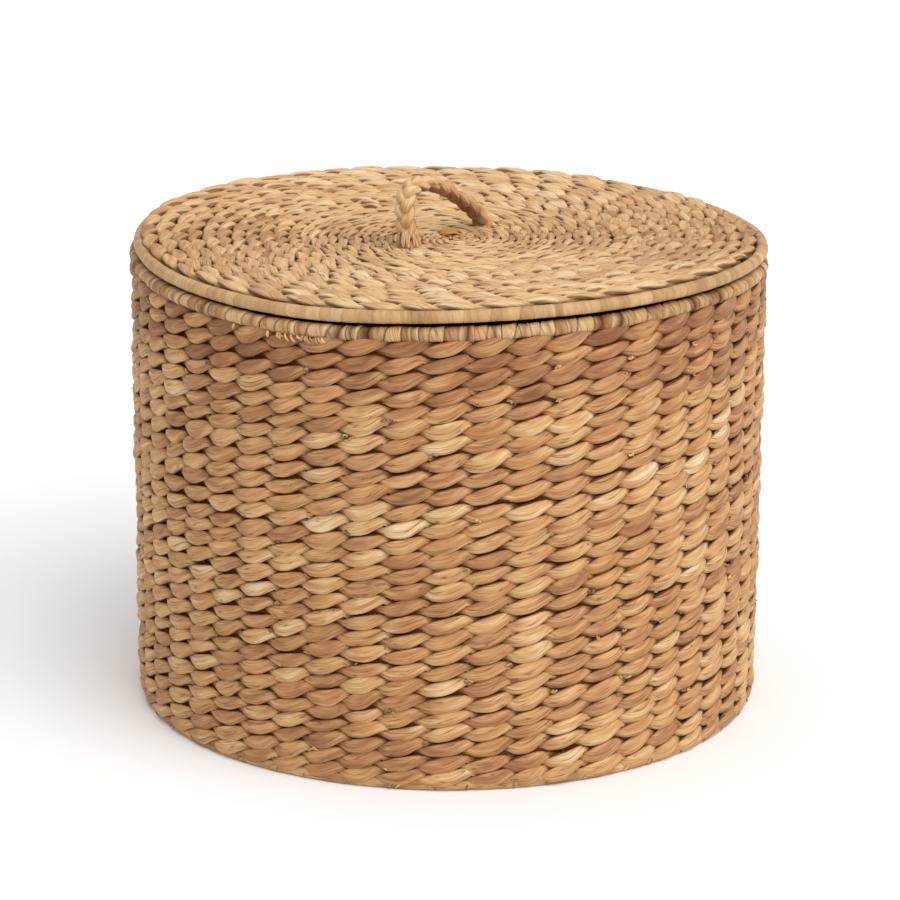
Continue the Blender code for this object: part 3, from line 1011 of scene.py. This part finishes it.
# --------------------------------------------------
# Wires
# --------------------------------------------------
BASE_WIRES = 0.0052
BASE_HUB = 0.022
LID_WIRES = LID_MIDDLE - 0.0006
LID_RING = 0.112
LID_HUB = 0.016
LID_SPOKES = 48
WIRE_SIDES = 8


def wire_ring(weave, radius, height, wire):
    turn, beta = full_turn(120), full_turn(WIRE_SIDES)
    rings = hoop_rings(turn, radius + wire * np.cos(beta), height + wire * np.sin(beta))
    weave.tube(rings, turn * radius, closed=True)


def level_wire(weave, angle, reach, height):
    """A straight wire pointing away from the axis."""
    out, along = outward_and_along(angle)
    beta = full_turn(WIRE_SIDES)[:, None]
    path = out * reach[:, None] + UP * height
    weave.tube(path[:, None] + STAKE_WIRE * (along * np.cos(beta) + UP * np.sin(beta)), reach)


def build_basket_wires(material):
    """The basket's welded cage, with its stakes bent to the sway of the wall."""
    weave = Weave()
    foot_circle = course_radius(BASE_WIRES)
    wire_ring(weave, STAKE_CIRCLE, RIM_HEIGHT, HOOP_WIRE)
    wire_ring(weave, foot_circle, BASE_WIRES, HOOP_WIRE)
    wire_ring(weave, BASE_HUB, BASE_WIRES, HOOP_WIRE)
    beta = full_turn(WIRE_SIDES)[:, None]
    heights = np.linspace(BASE_WIRES, RIM_HEIGHT, 30)
    reach = np.array([course_radius(height) for height in heights])[:, None]
    # Above the wall, the stakes keep the sway that they have at its top.
    levels = np.minimum(heights, 0.999 * WALL_TOP)
    for index in range(STAKES):
        place = np.array([float(index)])
        sway = np.array([stake_sway(place, level)[0] for level in levels])
        angle = 2 * math.pi * (index + 0.5 + sway) / STAKES
        out, along = directions(angle), directions(angle + math.pi / 2)
        rings = (out * reach)[:, None]
        rings = rings + STAKE_WIRE * (out[:, None] * np.cos(beta) + along[:, None] * np.sin(beta))
        rings[:, :, 2] = heights[:, None]
        weave.tube(rings, heights)
    for index in range(0, STAKES, 5):
        level_wire(weave, 2 * math.pi * (index + 0.5) / STAKES, np.linspace(BASE_HUB, foot_circle, 6),
                   BASE_WIRES)
    piece = weave.finish("basket_wires", material, settle_basket)
    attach(piece, "basket")
    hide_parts("basket_frame")


def build_lid_wires(material):
    """The lid's welded wheel, bent to the same warp as its weave."""
    weave = Weave()
    wire_ring(weave, LID_HOOP, LID_WIRES, HOOP_WIRE)
    wire_ring(weave, LID_RING, LID_WIRES, STAKE_WIRE)
    wire_ring(weave, LID_HUB, LID_WIRES, STAKE_WIRE)
    for index in range(LID_SPOKES):
        inner = LID_HUB if index % 4 == 0 else LID_RING
        level_wire(weave, 2 * math.pi * (index + 0.5) / LID_SPOKES, np.linspace(inner, LID_HOOP, 12),
                   LID_WIRES)
    piece = weave.finish("lid_wires", material, settle_lid)
    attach(piece, "lid")
    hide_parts("lid_frame")


# --------------------------------------------------
# Stage
# --------------------------------------------------
FLOOR_REACH = 12.0
CAMERA_LENS = 166.4
CAMERA_BACK, CAMERA_HEIGHT = 2.83725, 1.059525
CAMERA_PITCH, CAMERA_YAW, CAMERA_ROLL = math.radians(17.35), math.radians(0.03), math.radians(0.33)


def build_stage():
    """A plain pale floor in a white studio, under two soft lamps."""
    scene = bpy.context.scene
    scene.view_settings.view_transform = "Standard"
    world = bpy.data.worlds.new("studio")
    scene.world = world
    world.use_nodes = True
    background = world.node_tree.nodes["Background"]
    background.inputs["Color"].default_value = (1.0, 1.0, 1.0, 1.0)
    background.inputs["Strength"].default_value = 0.52
    mesh = bpy.data.meshes.new("floor")
    corners = [(x * FLOOR_REACH, y * FLOOR_REACH, 0) for x, y in ((-1, -1), (1, -1), (1, 1), (-1, 1))]
    mesh.from_pydata(corners, [], [(0, 1, 2, 3)])
    floor = bpy.data.objects.new("floor", mesh)
    scene.collection.objects.link(floor)
    paint = NodeMaterial("pale_floor")
    paint.feed(paint.shader, {
        "Base Color": (0.90, 0.90, 0.90, 1.0),
        "Roughness": 0.9,
        "Specular IOR Level": 0.1,
        "Emission Color": (1.0, 1.0, 1.0, 1.0),
        "Emission Strength": 0.04,
    })
    mesh.materials.append(paint.material)
    add_sun("key", (1.5, -1.75, 2.4), 62.0, 2.20)
    add_sun("top", (-0.2, 0.3, 2.0), 60.0, 0.55)


def add_sun(name, place, spread, strength):
    """A large soft lamp, far away in the direction of a place."""
    light = bpy.data.lights.new(name, "SUN")
    light.angle = math.radians(spread)
    light.energy = strength
    lamp = bpy.data.objects.new(name, light)
    lamp.location = place
    lamp.rotation_euler = (-Vector(place)).to_track_quat("-Z", "Y").to_euler()
    bpy.context.scene.collection.objects.link(lamp)


def build_camera():
    """A long lens, a little above the basket, as in the product picture."""
    camera_data = bpy.data.cameras.new("camera")
    camera_data.lens = CAMERA_LENS
    camera_data.sensor_width = 36.0
    camera = bpy.data.objects.new("camera", camera_data)
    turned = Matrix.Rotation(-CAMERA_YAW, 4, "Z")
    tilted = Matrix.Rotation(math.pi / 2 - CAMERA_PITCH, 4, "X")
    look = turned @ tilted @ Matrix.Rotation(CAMERA_ROLL, 4, "Z")
    camera.matrix_world = Matrix.Translation((0.0, -CAMERA_BACK, CAMERA_HEIGHT)) @ look
    bpy.context.scene.collection.objects.link(camera)
    bpy.context.scene.camera = camera


def main():
    build_camera()
    build_stage()
    # Each with its shares of red patches, of painted shade in its creases and of painted shadow in its
    # depths, and its roughness.
    weave = seagrass_material("seagrass_weave", WEAVE_STOPS, 0.60, 0.80, 0.94, 0.52)
    lid_weave = seagrass_material("seagrass_lid_weave", LID_STOPS, 0.45, 0.75, 0.72, 0.50)
    rim = seagrass_material("seagrass_rim", RIM_STOPS, 0.7, 0.7, 0.94, 0.52)
    edge = seagrass_material("seagrass_edge", EDGE_STOPS, 0.15, 0.2, 0.90, 0.46)
    plait = seagrass_material("seagrass_plait", PLAIT_STOPS, 0.5, 0.8, 0.90, 0.52)
    wire = wire_material("frame_wire")
    build_wall(weave)
    build_base(weave)
    build_basket_wires(wire)
    build_bindings(rim, edge)
    build_lid(lid_weave)
    build_lid_wires(wire)
    build_handle(plait)
    build_tails(plait)
    build_scraps(weave)
    build_frays(rim)
    build_foot_strip(rim)
    build_centre_knot(seagrass_material("seagrass_knot", KNOT_STOPS, 0.4, 0.6, 0.90, 0.50))


main()
